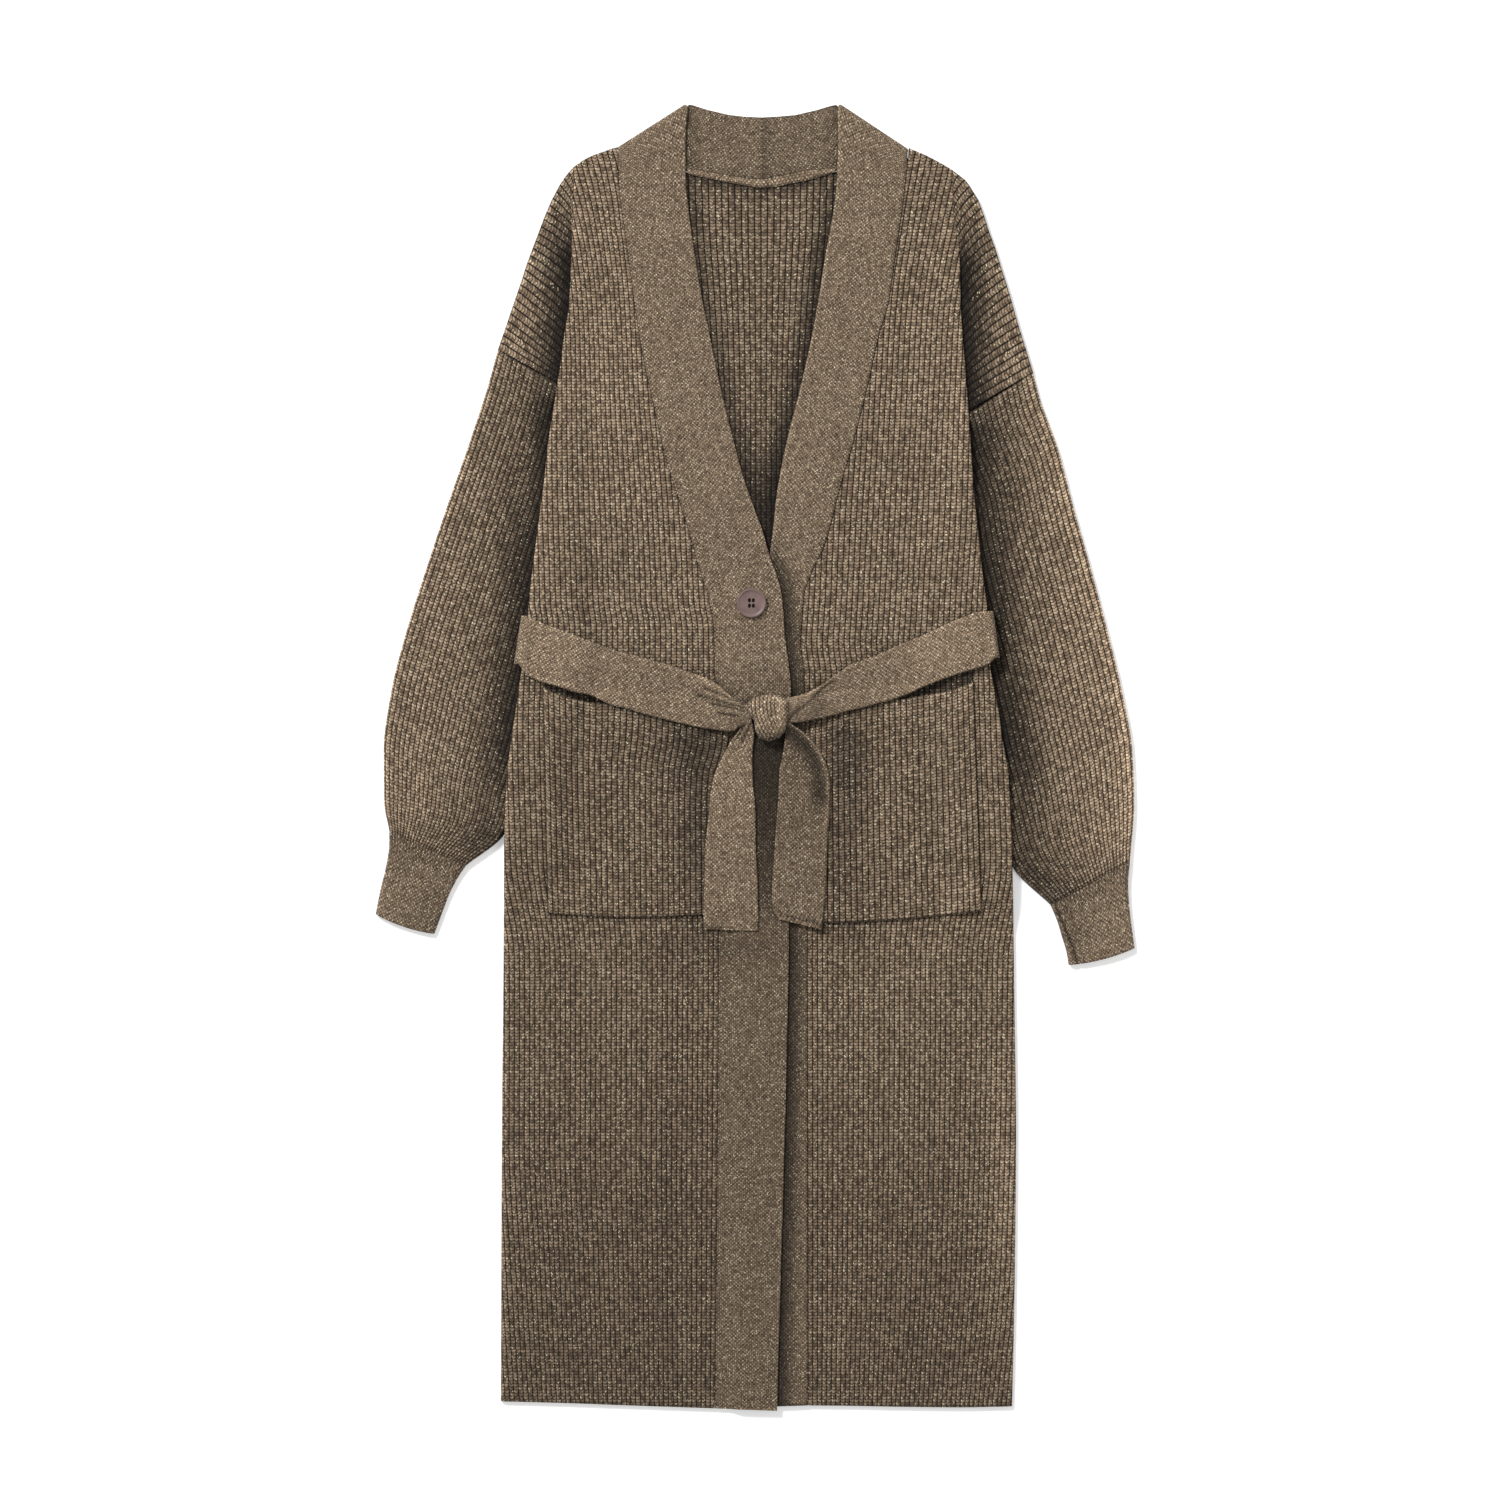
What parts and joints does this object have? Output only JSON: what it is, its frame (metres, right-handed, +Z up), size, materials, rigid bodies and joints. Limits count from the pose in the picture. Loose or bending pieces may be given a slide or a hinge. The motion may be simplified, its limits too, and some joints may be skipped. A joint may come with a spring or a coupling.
{
  "type": "belted long cardigan",
  "caption": "Long V-neck ribbed knit cardigan with plain bands, patch pockets and a knotted tie belt, laid flat, its button fastened",
  "frame": {"origin": "centre of the garment's bounding box, on the surface that it lies on", "axes": "+X towards the wearer's left, +Y from the hem towards the neck, +Z up from the surface, out of the garment's front"},
  "size_m": [0.6828, 1.1743, 0.0269],
  "materials": {
    "rib_knit": "ribbed marl knit with a light metallic thread",
    "plain_knit": "fine plain marl knit with a light metallic thread",
    "button_plastic": "polished four-hole button"
  },
  "bodies": {
    "root": {"back": "rib_knit", "front_right": "rib_knit", "front_left": "rib_knit", "sleeve_right": "rib_knit", "sleeve_left": "rib_knit", "pocket_right": "rib_knit", "pocket_left": "rib_knit", "cuff_right": "plain_knit", "cuff_left": "plain_knit", "band_right": "plain_knit", "band_left": "plain_knit", "neck_seam": "plain_knit", "belt_back": "plain_knit", "belt_front_right": "plain_knit", "belt_front_left": "plain_knit", "belt_knot": "plain_knit", "belt_tail_right": "plain_knit", "belt_tail_left": "plain_knit", "button": "button_plastic"}
  },
  "joints": []
}
